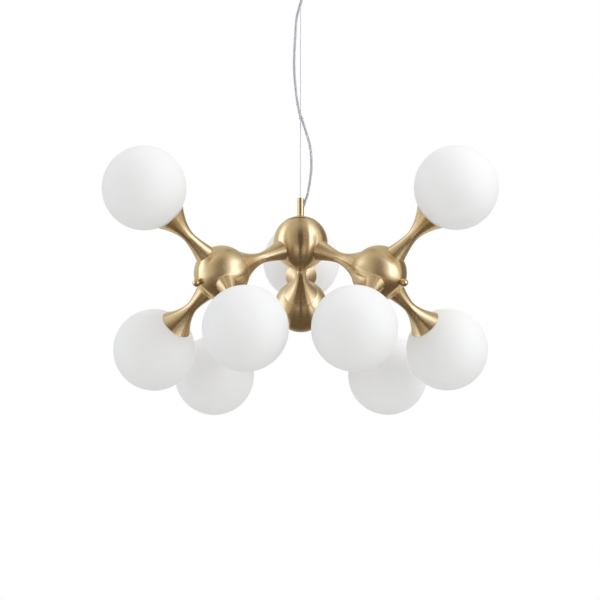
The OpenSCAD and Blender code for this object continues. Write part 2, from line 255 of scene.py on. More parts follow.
def outside_ball(points, centre_z, radius):
    """The points of a curve that starts outside a ball, up to where it enters the ball."""
    kept = []
    for (r0, z0), (r1, z1) in zip(points, points[1:]):
        kept.append((r0, z0))
        d0 = math.hypot(r0, z0 - centre_z) - radius
        d1 = math.hypot(r1, z1 - centre_z) - radius
        if d1 < 0:
            t = d0 / (d0 - d1)
            kept.append((r0 + (r1 - r0) * t, z0 + (z1 - z0) * t))
            return kept
    return points


def rounded(corners, steps=4):
    """Closed outline. A corner is (radius, height) or (radius, height, fillet radius)."""
    outline = []
    count = len(corners)
    for i, corner in enumerate(corners):
        here = Vector(corner[:2])
        fillet = corner[2] if len(corner) > 2 else 0
        back = Vector(corners[i - 1][:2]) - here
        ahead = Vector(corners[(i + 1) % count][:2]) - here
        half = back.angle(ahead) / 2
        if not fillet or half > math.radians(86):
            outline.append((here.x, here.y, 0.0))
            continue
        cut = min(fillet / math.tan(half), 0.45 * back.length, 0.45 * ahead.length)
        radius = cut * math.tan(half)
        middle = (back.normalized() + ahead.normalized()).normalized()
        centre = here + middle * radius / math.sin(half)
        start = here + back.normalized() * cut - centre
        sweep = start.angle_signed(here + ahead.normalized() * cut - centre)
        guard = 0.35 * cut
        first = here + back.normalized() * (cut + guard)
        if cut + guard < 0.5 * back.length:
            outline.append((first.x, first.y, 0.0))
        for k in range(steps + 1):
            spoke = Matrix.Rotation(-sweep * k / steps, 2) @ start
            outline.append((centre.x + spoke.x, centre.y + spoke.y, 1.0))
        last = here + ahead.normalized() * (cut + guard)
        if cut + guard < 0.5 * ahead.length:
            outline.append((last.x, last.y, 0.0))
    return outline


# ---- Pieces ----


def add_object(name, mesh, place=Matrix.Identity(4)):
    """Object at a place, with the place's turn put into its mesh so that its box stays tight."""
    piece = bpy.data.objects.new(name, mesh)
    mesh.transform(place.to_3x3().to_4x4())
    piece.location = place.translation
    bpy.context.scene.collection.objects.link(piece)
    return piece


def smooth(mesh, limit=38):
    """Smooth shading, with edges sharper than limit degrees kept crisp."""
    bm = bmesh.new()
    bm.from_mesh(mesh)
    bmesh.ops.recalc_face_normals(bm, faces=bm.faces)
    for face in bm.faces:
        face.smooth = True
    for edge in bm.edges:
        edge.smooth = len(edge.link_faces) == 2 and edge.calc_face_angle(0) < math.radians(limit)
    bm.to_mesh(mesh)
    bm.free()


def lathe(name, outline, place, closed=True, segments=SEGMENTS):
    """Outline swept round the place's Z axis. An outline that isn't closed ends on the axis."""
    mesh = bpy.data.meshes.new(name)
    verts, wear_sheen_and_seam_shade_marks, rings = [], [], []
    for r, z, wear_sheen_and_seam_shade in outline:
        if r < 0.001:
            rings.append([len(verts)] * segments)
            verts.append((0, 0, z * MM))
            wear_sheen_and_seam_shade_marks.append(wear_sheen_and_seam_shade)
            continue
        rings.append(list(range(len(verts), len(verts) + segments)))
        for k in range(segments):
            angle = 2 * math.pi * k / segments
            verts.append((r * math.cos(angle) * MM, r * math.sin(angle) * MM, z * MM))
            wear_sheen_and_seam_shade_marks.append(wear_sheen_and_seam_shade)
    run = [0.0]
    for (r0, z0, _), (r1, z1, _) in zip(outline, outline[1:] + outline[:1]):
        run.append(run[-1] + math.hypot(r1 - r0, z1 - z0) * MM)
    faces, uvs = [], []
    for i in range(len(rings) if closed else len(rings) - 1):
        low, high = rings[i], rings[(i + 1) % len(rings)]
        for k in range(segments):
            k1 = (k + 1) % segments
            u0, u1 = k / segments, (k + 1) / segments
            corners = [(low[k], u0, run[i]), (low[k1], u1, run[i])]
            corners += [(high[k1], u1, run[i + 1]), (high[k], u0, run[i + 1])]
            face = []
            for corner in corners:
                if corner[0] not in [c[0] for c in face]:
                    face.append(corner)
            faces.append([c[0] for c in face])
            uvs += [(c[1], c[2]) for c in face]
    mesh.from_pydata(verts, [], faces)
    layer = mesh.uv_layers.new(name="turning")
    for loop, uv in zip(layer.data, uvs):
        loop.uv = uv
    wear_sheen_and_seam_shade_layer = mesh.attributes.new("edge", "FLOAT", "POINT")
    wear_sheen_and_seam_shade_layer.data.foreach_set("value", wear_sheen_and_seam_shade_marks)
    smooth(mesh)
    return add_object(name, mesh, place)


def drill(piece, place, radius, length, start=0):
    """Cuts a round hole along +Z of a place, from start, through a piece."""
    bm = bmesh.new()
    bmesh.ops.create_cone(
        bm, cap_ends=True, segments=40, radius1=radius * MM, radius2=radius * MM, depth=length * MM
    )
    mesh = bpy.data.meshes.new("drill")
    bm.to_mesh(mesh)
    bm.free()
    cutter = add_object("drill", mesh, place @ shift(0, 0, start + length / 2))
    bpy.context.view_layer.update()
    cut = piece.modifiers.new("drill", "BOOLEAN")
    cut.operation = "DIFFERENCE"
    cut.solver = "EXACT"
    cut.object = cutter
    apply_modifiers(piece)
    bpy.data.objects.remove(cutter)
    smooth(piece.data)


def apply_modifiers(piece):
    shown = piece.evaluated_get(bpy.context.evaluated_depsgraph_get())
    mesh = bpy.data.meshes.new_from_object(shown)
    piece.modifiers.clear()
    piece.data = mesh


def eased(name, node, width, steps=2):
    """Copy of a CAD node with its coplanar facets joined and its crisp edges bevelled."""
    mesh = frame["nodes"][node].data.copy()
    bm = bmesh.new()
    bm.from_mesh(mesh)
    bmesh.ops.remove_doubles(bm, verts=bm.verts, dist=0.000005)
    bmesh.ops.dissolve_limit(
        bm, angle_limit=math.radians(0.6), verts=bm.verts, edges=bm.edges, delimit={"NORMAL"}
    )
    sharp = math.radians(35)
    crisp = [e for e in bm.edges if len(e.link_faces) == 2 and e.calc_face_angle(0) > sharp]
    bmesh.ops.bevel(
        bm, geom=crisp, offset=width * MM, offset_type="OFFSET", segments=steps, profile=0.5,
        affect="EDGES", clamp_overlap=True,
    )
    bm.to_mesh(mesh)
    bm.free()
    if "custom_normal" in mesh.attributes:
        mesh.attributes.remove(mesh.attributes["custom_normal"])
    smooth(mesh)
    piece = add_object(name, mesh)
    mesh.materials.clear()
    return piece


def finish_piece(piece, body, slot, material, *nodes):
    """Rides on its body, stands for its CAD nodes and takes its material."""
    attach(piece, body)
    if nodes:
        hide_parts(*nodes)
    piece.data.materials.clear()
    piece.data.materials.append(material)
    return piece


# ---- Materials ----


class Surface:
    """A Principled material with short calls for its detail nodes."""

    def __init__(self, name, **settings):
        self.material = bpy.data.materials.new(name)
        self.material.use_nodes = True
        self.tree = self.material.node_tree
        self.shader = self.tree.nodes["Principled BSDF"]
        for key, value in settings.items():
            self.shader.inputs[key.replace("_", " ")].default_value = value

    def add(self, kind, **settings):
        node = self.tree.nodes.new(kind)
        for key, value in settings.items():
            setattr(node, key, value)
        return node

    def link(self, source, target):
        self.tree.links.new(source, target)

    def coordinates(self, scale=(1, 1, 1)):
        """The piece's own coordinates in metres, scaled."""
        coords = self.add("ShaderNodeTexCoord")
        mapping = self.add("ShaderNodeMapping")
        mapping.inputs["Scale"].default_value = scale
        self.link(coords.outputs["Object"], mapping.inputs["Vector"])
        return mapping.outputs["Vector"]

    def noise(self, vector, scale, detail=3, roughness=0.55):
        noise = self.add("ShaderNodeTexNoise")
        noise.inputs["Scale"].default_value = scale
        noise.inputs["Detail"].default_value = detail
        noise.inputs["Roughness"].default_value = roughness
        self.link(vector, noise.inputs["Vector"])
        return noise.outputs["Fac"]

    def spread(self, value, low, high, start=0.3, end=0.7):
        """The value, from start to end, taken to the span from low to high."""
        span = self.add("ShaderNodeMapRange")
        span.inputs["From Min"].default_value = start
        span.inputs["From Max"].default_value = end
        span.inputs["To Min"].default_value = low
        span.inputs["To Max"].default_value = high
        self.link(value, span.inputs["Value"])
        return span.outputs["Result"]

    def math(self, operation, a, b):
        node = self.add("ShaderNodeMath", operation=operation)
        for socket, value in zip(node.inputs, (a, b)):
            if isinstance(value, (int, float)):
                socket.default_value = value
            else:
                self.link(value, socket)
        return node.outputs["Value"]

    def mix(self, factor, first, second):
        """Colour from first to second by factor."""
        node = self.add("ShaderNodeMix", data_type="RGBA")
        self.link(factor, node.inputs["Factor"])
        for socket, value in ((node.inputs[6], first), (node.inputs[7], second)):
            if isinstance(value, tuple):
                socket.default_value = (*value, 1)
            else:
                self.link(value, socket)
        return node.outputs[2]

    def use(self, value, socket):
        self.link(value, self.shader.inputs[socket])

    def bump(self, height, strength, distance_mm):
        bump = self.add("ShaderNodeBump")
        bump.inputs["Strength"].default_value = strength
        bump.inputs["Distance"].default_value = distance_mm * MM
        self.link(height, bump.inputs["Height"])
        self.use(bump.outputs["Normal"], "Normal")


def turning_lines(surface, across, along):
    """Coordinates for brushing lines that run round the turning axis: fine along the outline."""
    uv = surface.add("ShaderNodeUVMap", uv_map="turning")
    split = surface.add("ShaderNodeSeparateXYZ")
    surface.link(uv.outputs["UV"], split.inputs["Vector"])
    join = surface.add("ShaderNodeCombineXYZ")
    angle = surface.math("MULTIPLY", split.outputs["X"], 2 * math.pi)
    for axis, wave in (("X", "COSINE"), ("Y", "SINE")):
        round_axis = surface.math("MULTIPLY", surface.math(wave, angle, 0), across)
        surface.link(round_axis, join.inputs[axis])
    surface.link(surface.math("MULTIPLY", split.outputs["Y"], along), join.inputs["Z"])
    return join.outputs["Vector"]


def brass_material():
    """Turned and lacquered brass: brushed round its axis, painted brighter at its edges as rubbed
    wear and a painted highlight, and painted dark in the lid's seam as painted shade.
    """
    brass = Surface(
        "satin_brass", Metallic=1.0, Anisotropic=1.0, Anisotropic_Rotation=0.25,
        Coat_Weight=0.05, Coat_Roughness=0.15,
    )
    tangent = brass.add("ShaderNodeTangent", direction_type="UV_MAP", uv_map="turning")
    brass.use(tangent.outputs["Tangent"], "Tangent")
    lines = brass.noise(turning_lines(brass, 1.2, 5200), 1, detail=4, roughness=0.6)
    broad_lines = brass.noise(turning_lines(brass, 0.5, 700), 1, detail=2)
    cloud = brass.noise(brass.coordinates(), 55, detail=3)
    edge = brass.add("ShaderNodeAttribute", attribute_name="edge")
    tone = brass.mix(brass.spread(cloud, 0, 1), (0.78, 0.57, 0.30), (0.82, 0.62, 0.345))
    lined = brass.mix(brass.spread(lines, 0, 0.3), tone, (0.70, 0.50, 0.25))
    # Rounded edges are painted brighter: partly rubbed wear, partly a painted highlight.
    wear_sheen_and_seam_shade = brass.math("MULTIPLY", edge.outputs["Fac"], 0.6)
    rubbed_and_highlit = brass.mix(wear_sheen_and_seam_shade, lined, (0.93, 0.76, 0.50))
    # Painted shade: lips marked -1 at the lid's seam are painted near black, where shade falls in
    # the gap.
    painted_seam_shade = brass.math("MULTIPLY", edge.outputs["Fac"], -0.9)
    brass.use(brass.mix(painted_seam_shade, rubbed_and_highlit, (0.10, 0.06, 0.03)), "Base Color")
    fine, broad = brass.spread(lines, -0.015, 0.02), brass.spread(broad_lines, -0.01, 0.015)
    haze = brass.math("ADD", brass.spread(cloud, 0.235, 0.265), brass.math("ADD", fine, broad))
    polish = brass.math("MULTIPLY", edge.outputs["Fac"], 0.05)
    brass.use(brass.math("SUBTRACT", haze, polish), "Roughness")
    brass.bump(lines, 0.04, 0.006)
    return brass.material


def opal_material():
    opal = Surface(
        "opal_glass", IOR=1.5, Coat_Weight=0.06, Coat_Roughness=0.45, Specular_IOR_Level=0.35
    )
    body = opal.noise(opal.coordinates(), 26, detail=2)
    milk = opal.mix(opal.spread(body, 0, 1), (0.885, 0.887, 0.885), (0.905, 0.905, 0.90))
    opal.use(milk, "Base Color")
    etch = opal.noise(opal.coordinates(), 2600, detail=2)
    matt = opal.math("ADD", opal.spread(body, 0.5, 0.56), opal.spread(etch, -0.03, 0.03))
    opal.use(matt, "Roughness")
    opal.bump(etch, 0.10, 0.03)
    return opal.material


def steel_wire_material():
    steel = Surface("steel_wire", Metallic=1.0)
    grime = steel.noise(steel.coordinates((1, 1, 0.2)), 900, detail=3)
    tone = steel.mix(steel.spread(grime, 0, 1), (0.52, 0.52, 0.53), (0.72, 0.72, 0.73))
    steel.use(tone, "Base Color")
    steel.use(steel.spread(grime, 0.26, 0.42), "Roughness")
    steel.bump(steel.noise(steel.coordinates((1, 1, 0.05)), 9000), 0.2, 0.01)
    return steel.material


def clear_pvc_material():
    clear = Surface(
        "clear_pvc", IOR=1.53, Transmission_Weight=0.9, Coat_Weight=0.2, Coat_Roughness=0.1
    )
    film = clear.noise(clear.coordinates(), 420, detail=3)
    tone = clear.mix(clear.spread(film, 0, 1), (0.86, 0.87, 0.88), (0.94, 0.95, 0.95))
    clear.use(tone, "Base Color")
    clear.use(clear.spread(film, 0.06, 0.16), "Roughness")
    clear.bump(clear.noise(clear.coordinates(), 1500, detail=2), 0.08, 0.03)
    return clear.material


def tinned_copper_material():
    tinned = Surface("tinned_copper", Metallic=0.35)
    strands = tinned.add("ShaderNodeTexWave", wave_type="BANDS", bands_direction="Z")
    tinned.link(tinned.coordinates(), strands.inputs["Vector"])
    strands.inputs["Scale"].default_value = 420
    strands.inputs["Distortion"].default_value = 1.5
    fac = strands.outputs["Fac"]
    tone = tinned.mix(tinned.spread(fac, 0, 1, 0, 1), (0.74, 0.74, 0.75), (0.95, 0.95, 0.95))
    tinned.use(tone, "Base Color")
    tinned.use(tinned.spread(fac, 0.45, 0.28, 0, 1), "Roughness")
    tinned.bump(fac, 0.5, 0.05)
    return tinned.material


def white_moulding_material(name, shade, roughness, coat=0.0, grain=1400, depth=0.03):
    """Ceramic, silicone or moulded plastic: white with slight mottling and a fine surface grain."""
    white = Surface(name, IOR=1.5, Coat_Weight=coat, Coat_Roughness=0.12)
    cloud = white.noise(white.coordinates(), 180, detail=4)
    darker = tuple(c * 0.93 for c in shade)
    white.use(white.mix(white.spread(cloud, 0, 1), darker, shade), "Base Color")
    white.use(white.spread(cloud, roughness - 0.05, roughness + 0.06), "Roughness")
    white.bump(white.noise(white.coordinates(), grain, detail=2), 0.2, depth)
    return white.material


def bulb_glass_material():
    frosted = Surface("bulb_glass", IOR=1.45, Transmission_Weight=0.35)
    frost = frosted.noise(frosted.coordinates(), 1800, detail=3)
    tone = frosted.mix(frosted.spread(frost, 0, 1), (0.90, 0.89, 0.86), (0.97, 0.96, 0.94))
    frosted.use(tone, "Base Color")
    frosted.use(frosted.spread(frost, 0.42, 0.58), "Roughness")
    frosted.bump(frost, 0.12, 0.03)
    return frosted.material


def zinc_material():
    zinc = Surface("zinc_steel", Metallic=1.0)
    spangle = zinc.add("ShaderNodeTexVoronoi")
    spangle.inputs["Scale"].default_value = 420
    zinc.link(zinc.coordinates(), spangle.inputs["Vector"])
    cells = zinc.add("ShaderNodeSeparateColor")
    zinc.link(spangle.outputs["Color"], cells.inputs["Color"])
    cell = cells.outputs["Red"]
    scuffs = zinc.noise(zinc.coordinates((1, 0.15, 1)), 1400, detail=3)
    tone = zinc.mix(zinc.spread(cell, 0, 1, 0, 1), (0.55, 0.57, 0.60), (0.66, 0.67, 0.69))
    zinc.use(zinc.mix(zinc.spread(scuffs, 0, 0.5), tone, (0.72, 0.72, 0.72)), "Base Color")
    haze = zinc.math("ADD", zinc.spread(cell, 0.28, 0.40, 0, 1), zinc.spread(scuffs, -0.05, 0.08))
    zinc.use(haze, "Roughness")
    zinc.bump(scuffs, 0.15, 0.02)
    return zinc.material


BRASS = brass_material()
OPAL = opal_material()
STEEL_WIRE = steel_wire_material()
CLEAR_PVC = clear_pvc_material()
TINNED = tinned_copper_material()
SILICONE = white_moulding_material("silicone", (0.86, 0.86, 0.85), 0.6, grain=2400)
CERAMIC = white_moulding_material(
    "ceramic", (0.90, 0.89, 0.85), 0.3, coat=0.4, grain=700, depth=0.05
)
TERMINAL_PLASTIC = white_moulding_material("terminal_plastic", (0.86, 0.86, 0.83), 0.45)
BULB_GLASS = bulb_glass_material()
ZINC = zinc_material()

# ---- Wire and cord ----


def curve_through(points, steps):
    """Smooth Catmull-Rom curve through the points, with steps points to each stretch."""
    line = []
    last = len(points) - 1
    for i in range(last):
        a, b, c, d = (Vector(points[k]) for k in (max(i - 1, 0), i, i + 1, min(i + 2, last)))
        for k in range(steps):
            u = k / steps
            line.append(0.5 * (
                2 * b + (c - a) * u + (2 * a - 5 * b + 4 * c - d) * u ** 2
                + (3 * b - a - 3 * c + d) * u ** 3
            ))
    return line + [Vector(points[-1])]


def evenly(line, step):
    """The same line with its points a step apart."""
    spaced, rest = [line[0]], step
    for a, b in zip(line, line[1:]):
        length = (b - a).length
        while rest <= length:
            spaced.append(a.lerp(b, rest / length))
            rest += step
        rest -= length
    if (spaced[-1] - line[-1]).length > step / 4:
        spaced.append(line[-1])
    else:
        spaced[-1] = line[-1]
    return spaced


def frames_along(line):
    """Direction and two side vectors at each point, carried along without twist."""
    frames = []
    side = Vector((0, 1, 0))
    for i in range(len(line)):
        along = (line[min(i + 1, len(line) - 1)] - line[max(i - 1, 0)]).normalized()
        side = (side - along * side.dot(along)).normalized()
        frames.append((line[i], side, along.cross(side)))
    return frames


def tube(name, line, radius_at, around):
    """Closed tube along a line. radius_at(i, angle) is its radius at point i, in metres."""
    verts, faces = [], []
    frames = frames_along(line)
    for i, (point, side, up) in enumerate(frames):
        for k in range(around):
            angle = 2 * math.pi * k / around
            r = radius_at(i, angle)
            verts.append(point + side * (r * math.cos(angle)) + up * (r * math.sin(angle)))
    for i in range(len(line) - 1):
        for k in range(around):
            k1 = (k + 1) % around
            here, ahead = i * around, (i + 1) * around
            faces.append((here + k, here + k1, ahead + k1, ahead + k))
    faces.append(tuple(range(around - 1, -1, -1)))
    faces.append(tuple(range(len(verts) - around, len(verts))))
    mesh = bpy.data.meshes.new(name)
    mesh.from_pydata(verts, [], faces)
    smooth(mesh, 60)
    return add_object(name, mesh)


WIRE_STRANDS = 6
WIRE_LAY = 0.009
WIRE_STEP = 0.0006
CORD_STEP = 0.0016
CORE_COUNT = 3
CORE_R = 0.00062
CORE_OFFSET = 0.00078
CORE_LAY = 0.024


def add_suspension_wire():
    """Steel wire with six outer strands that wind round it."""
    top = Vector((0, 0, WIRE_END_Z * MM))
    low = CENTRE + Vector((0, 0, FERRULE_Z * MM))
    count = round((top - low).length / WIRE_STEP)
    line = [low.lerp(top, i / count) for i in range(count + 1)]

    def strands(i, angle):
        wound = angle - 2 * math.pi * i * WIRE_STEP / WIRE_LAY
        return WIRE_R * MM * (0.84 + 0.16 * abs(math.cos(WIRE_STRANDS * wound / 2)))

    wire = tube("wire_strand", line, strands, 36)
    finish_piece(wire, "pendant", "steel_wire", STEEL_WIRE, "suspension_wire")


def add_power_cord():
    """Clear sheath with three tinned cores that wind round each other inside it."""
    route = [CENTRE + Vector(p) for p in CORD_ROUTE]
    line = evenly(curve_through(route, 24), CORD_STEP)
    sheath = tube("cord_sheath", line, lambda i, angle: CORD_R * MM, 24)
    finish_piece(sheath, "pendant", "clear_pvc", CLEAR_PVC, "power_cord")
    for core in range(CORE_COUNT):
        wound = []
        for i, (point, side, up) in enumerate(frames_along(line)):
            angle = 2 * math.pi * (core / CORE_COUNT + i * CORD_STEP / CORE_LAY)
            wound.append(point + (side * math.cos(angle) + up * math.sin(angle)) * CORE_OFFSET)
        piece = tube(f"cord_core_{core + 1}", wound[2:-2], lambda i, angle: CORE_R, 12)
        finish_piece(piece, "pendant", "clear_pvc", TINNED)


add_suspension_wire()
add_power_cord()


def exit_place():
    """Frame of the stem's side hole, +Z along the cord."""
    return centre_place() @ shift(EXIT_X, 0, EXIT_Z) @ turn((0, EXIT_TILT, 0))


def add_cord_bush():
    outline = rounded([
        (CORD_R + FIT, -BUSH_IN, 0.1), (BUSH_R, -BUSH_IN, 0.15), (BUSH_R, BUSH_OUT - 0.8, 0.3),
        (BUSH_R - 0.25, BUSH_OUT, 0.2), (CORD_R + FIT, BUSH_OUT, 0.1),
    ])
    bush = lathe("cord_grommet", outline, exit_place(), segments=48)
    finish_piece(bush, "pendant", "clear_pvc", CLEAR_PVC, "cord_bush")


def add_cord_tie():
    tie = eased("cord_clip", "cord_tie", 0.18)
    finish_piece(tie, "pendant", "clear_pvc", CLEAR_PVC, "cord_tie")


add_cord_bush()
add_cord_tie()

# ---- Hubs ----

MOUTH_R = math.sqrt(HUB_R ** 2 - MOUTH_Z ** 2)
HUB_IN_R = HUB_R - HUB_WALL
MOUTH_IN_R = math.sqrt(HUB_IN_R ** 2 - MOUTH_Z ** 2)
SPIGOT_R = MOUTH_IN_R - SPIGOT_GAP
EDGE_EASE = 0.5
LID_SEAM = 1.1
LID_FOOT_Z = 27
LID_BOSS_R = 9
HUB_STEPS = 44


def hub_outline(ease, wear_sheen_and_seam_shade):
    """Spun shell: open mouth below at -MOUTH_Z and a hole for the tie rod at its pole."""
    pole_out = math.degrees(math.acos(POLE_HOLE_R / HUB_R))
    pole_in = math.degrees(math.acos(POLE_HOLE_R / HUB_IN_R))
    ease_out = math.degrees(ease / HUB_R)
    mouth_out = -math.degrees(math.asin(MOUTH_Z / HUB_R)) + ease_out
    mouth_in = -math.degrees(math.asin(MOUTH_Z / HUB_IN_R))
    outer = plain(arc(0, 0, HUB_R, mouth_out, pole_out, HUB_STEPS))
    inner = plain(arc(0, 0, HUB_IN_R, pole_in, mouth_in, HUB_STEPS))
    # The lip takes the edge mark. At the side hubs it is painted brighter as wear and highlight; at
    # the centre hub it gets painted shade for the lid's seam.
    lip = [
        (MOUTH_R - 0.75 * ease, -MOUTH_Z, wear_sheen_and_seam_shade),
        (MOUTH_R - 0.3 * ease, -MOUTH_Z + 0.12 * ease, wear_sheen_and_seam_shade),
        (MOUTH_R + 0.15 * ease, -MOUTH_Z + 0.5 * ease, wear_sheen_and_seam_shade),
    ]
    return outer + inner + lip


def add_hub(name, node, place, arm_frames, ease=EDGE_EASE, wear_sheen_and_seam_shade=1.0):
    """Hub shell with a hole for the pipe of each arm that stands on it."""
    hub = lathe(name, hub_outline(ease, wear_sheen_and_seam_shade), place)
    for arm_frame in arm_frames:
        drill(hub, arm_frame, PIPE_HOLE_R, length=20, start=28)
    finish_piece(hub, "pendant", "satin_brass", BRASS, node)


link_frames = [link_place(side) for side in SIDES]
# The centre hub's lip takes -1: painted shade in the seam under the lid.
add_hub("hub_shell_center", "hub_center", pole_place(), link_frames, ease=LID_SEAM, wear_sheen_and_seam_shade=-1.0)
for side in SIDES:
    add_hub(f"hub_shell_{side}", f"hub_{side}", side_hub_place(side), ARMS_OF[side])


def add_lid():
    """Domed lid that completes the ball, with a boss round the stem and a spigot in the mouth."""
    lid_z = MOUTH_Z + FIT
    lid_r = math.sqrt(HUB_R ** 2 - lid_z ** 2)
    rim_angle = math.degrees(math.asin((lid_z + LID_SEAM) / HUB_R))
    top_angle = math.degrees(math.acos((STEM_R + FIT) / HUB_R))
    spigot_in_r = SPIGOT_R - SPIGOT_WALL
    under = [math.degrees(math.acos(r / HUB_IN_R)) for r in (LID_BOSS_R, spigot_in_r)]
    # The lid's lip takes -1: painted shade in the seam between lid and hub.
    lip = [
        (lid_r - 1.3 * LID_SEAM, lid_z, -1.0),
        (lid_r - 0.95 * LID_SEAM, lid_z + 0.2 * LID_SEAM, -1.0),
        (lid_r - 0.85 * LID_SEAM, lid_z + 0.7 * LID_SEAM, -1.0),
    ]
    outline = (
        plain(arc(0, 0, HUB_R, rim_angle, top_angle, 24))
        + rounded([
            (STEM_R + FIT, 34), (STEM_R + FIT, LID_FOOT_Z, 0.2), (LID_BOSS_R, LID_FOOT_Z, 0.3),
            (LID_BOSS_R, 34),
        ])
        + plain(arc(0, 0, HUB_IN_R, under[0], under[1], 10))
        + rounded([
            (spigot_in_r, 30), (spigot_in_r, LID_FOOT_Z, 0.3), (SPIGOT_R, LID_FOOT_Z, 0.3),
            (SPIGOT_R, lid_z),
        ])
        + lip
    )
    lid = lathe("lid_cap", outline, centre_place())
    finish_piece(lid, "pendant", "satin_brass", BRASS, "hub_lid")


def add_stem():
    """Hollow stem through the lid, with a small collar where it leaves the dome."""
    collar_z = math.sqrt(HUB_R ** 2 - STEM_R ** 2) + FIT
    outline = rounded([
        (ROD_BORE_R, STEM_FOOT_Z, 0.2), (STEM_R, STEM_FOOT_Z, 0.4), (STEM_R, collar_z),
        (COLLAR_R, collar_z, 0.12), (COLLAR_R, collar_z + 0.5, 0.25),
        (STEM_R + 0.3, collar_z + 1.2, 0.8), (STEM_R, collar_z + 2.2, 1.5),
        (STEM_R, STEM_TOP_Z, 0.5), (WIRE_HOLE_R, STEM_TOP_Z, 0.2),
        (WIRE_HOLE_R, STEM_TOP_Z - STEM_CAP), (STEM_IN_R, STEM_TOP_Z - STEM_CAP, 0.2),
        (STEM_IN_R, STEM_FLOOR_Z), (ROD_BORE_R, STEM_FLOOR_Z, 0.2),
    ])
    stem = lathe("stem_tube", outline, centre_place(), segments=64)
    drill(stem, exit_place(), BUSH_R + FIT, length=19, start=-7)
    finish_piece(stem, "pendant", "satin_brass", BRASS, "stem")


def add_finials():
    """Ball nut with a short collar on each hub's outward pole."""
    foot_z, bore_z = HUB_R + 0.1, BALL_Z + 0.2
    collar_z = HUB_R + 1.2
    collar = [(BALL_COLLAR_R, foot_z, 0.2), (BALL_COLLAR_R, collar_z, 0.25), (4.3, collar_z)]
    join = -math.degrees(math.acos(BALL_NECK_R / BALL_R))
    ball = plain(arc(0, BALL_Z, BALL_R, join, 90, 24))
    bore = plain([(0, bore_z), (ROD_BORE_R, bore_z), (ROD_BORE_R, foot_z)])
    outline = bore + rounded(collar)[:-1] + ball[:-1] + [(0, BALL_Z + BALL_R, 0.0)]
    spots = {"center": pole_place(), **{side: side_hub_place(side) for side in SIDES}}
    for spot, place in spots.items():
        piece = lathe(f"ball_nut_{spot}", outline, place, closed=False, segments=48)
        finish_piece(piece, "pendant", "satin_brass", BRASS)
    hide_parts("finials")


add_lid()
add_stem()
add_finials()

# ---- Arms ----


def foot_edge(foot_curve, inner_r):
    """Where the foot meets the hub: the outer curve's end, an eased edge, then along the hub."""
    seat = HUB_R + FIT
    end_r = foot_curve[-1][0]
    angle_out = math.asin((end_r - 0.3) / seat)
    angle_in = math.asin(inner_r / seat)
    steps = 3
    along_hub = [
        (seat * math.sin(a), seat * math.cos(a))
        for a in (angle_out + (angle_in - angle_out) * i / steps for i in range(steps + 1))
    ]
    ease_r = end_r - 0.06
    eased_end = (ease_r, seat * math.cos(math.asin(ease_r / seat)) + 0.12, 1.0)
    return [eased_end, (*along_hub[0], 1.0)] + plain(along_hub[1:])


def trumpet_sides(neck_s, neck_r, end_s, end_r, power, foot_r):
    """The two curves of a waisted arm, from its neck back to its foot and on to its far end."""
    foot = outside_ball(flare(neck_s, neck_r, FOOT_S, foot_r, FOOT_POWER), 0, HUB_R + FIT)
    rim = flare(neck_s, neck_r, end_s, end_r, power)
    return foot, rim


def add_link_arm(side):
    end_s = HUB_SPACING - MOUTH_Z - FIT
    mouth_s = HUB_SPACING - MOUTH_Z
    foot, rim = trumpet_sides(LINK_NECK_S, NECK_R, mouth_s, MOUTH_R, LINK_POWER, FOOT_R + 1)
    rim = [p for p in rim if p[1] < end_s - 0.45]
    bore_foot, bore_rim = trumpet_sides(
        LINK_NECK_S, LINK_BORE_R, end_s - LINK_WEB, MOUTH_R - 2 * ARM_WALL, LINK_POWER,
        FOOT_R - ARM_WALL,
    )
    spigot_in_r = SPIGOT_R - SPIGOT_WALL
    spigot_s = mouth_s + LINK_SPIGOT
    lip = [
        (MOUTH_R - 0.12, end_s - 0.3, 1.0), (MOUTH_R, end_s - 0.12, 1.0),
        (MOUTH_R - 0.12, end_s, 1.0),
    ]
    face = plain([
        (SPIGOT_R, end_s), (SPIGOT_R, spigot_s), (spigot_in_r, spigot_s), (spigot_in_r, end_s),
        (LINK_WEB_HOLE_R, end_s), (LINK_WEB_HOLE_R, end_s - LINK_WEB),
    ])
    outline = (
        foot_edge(foot, bore_foot[-1][0])[::-1]
        + plain(foot[::-1][1:-1])
        + plain(rim)
        + lip
        + face
        + plain(bore_rim[::-1])
        + plain(bore_foot[1:-1])
    )
    arm = lathe(f"link_trumpet_{side}", outline, link_place(side))
    finish_piece(arm, "pendant", "satin_brass", BRASS, f"link_arm_{side}")


def add_globe_arm(place_name, place):
    foot, rim = trumpet_sides(ARM_NECK_S, NECK_R, ARM_END_S, ARM_END_R, ARM_POWER, FOOT_R + 0.8)
    seat_r = GLOBE_R + SEAT_GAP
    rim = outside_ball(rim, GLOBE_REACH, seat_r)
    bore_foot, bore_rim = trumpet_sides(
        ARM_NECK_S, ARM_BORE_R, ARM_END_S, ARM_END_R - ARM_WALL, ARM_POWER, FOOT_R - ARM_WALL
    )
    bore_rim = outside_ball(bore_rim, GLOBE_REACH, seat_r)
    rim_r, rim_s = rim[-1]
    lip = [
        (rim_r - 0.02, rim_s - 0.05, 1.0), (rim_r - 0.12, rim_s + 0.06, 1.0),
        (rim_r - 0.35, rim_s + 0.02, 1.0),
    ]
    outline = (
        foot_edge(foot, bore_foot[-1][0])[::-1]
        + plain(foot[::-1][1:-1])
        + plain(rim[:-1])
        + lip
        + plain(bore_rim[::-1])
        + plain(bore_foot[1:-1])
    )
    arm = lathe(f"trumpet_{place_name}", outline, place)
    finish_piece(arm, "pendant", "satin_brass", BRASS, f"arm_{place_name}")


# ---- Globes ----

GLOBE_STEPS = 60


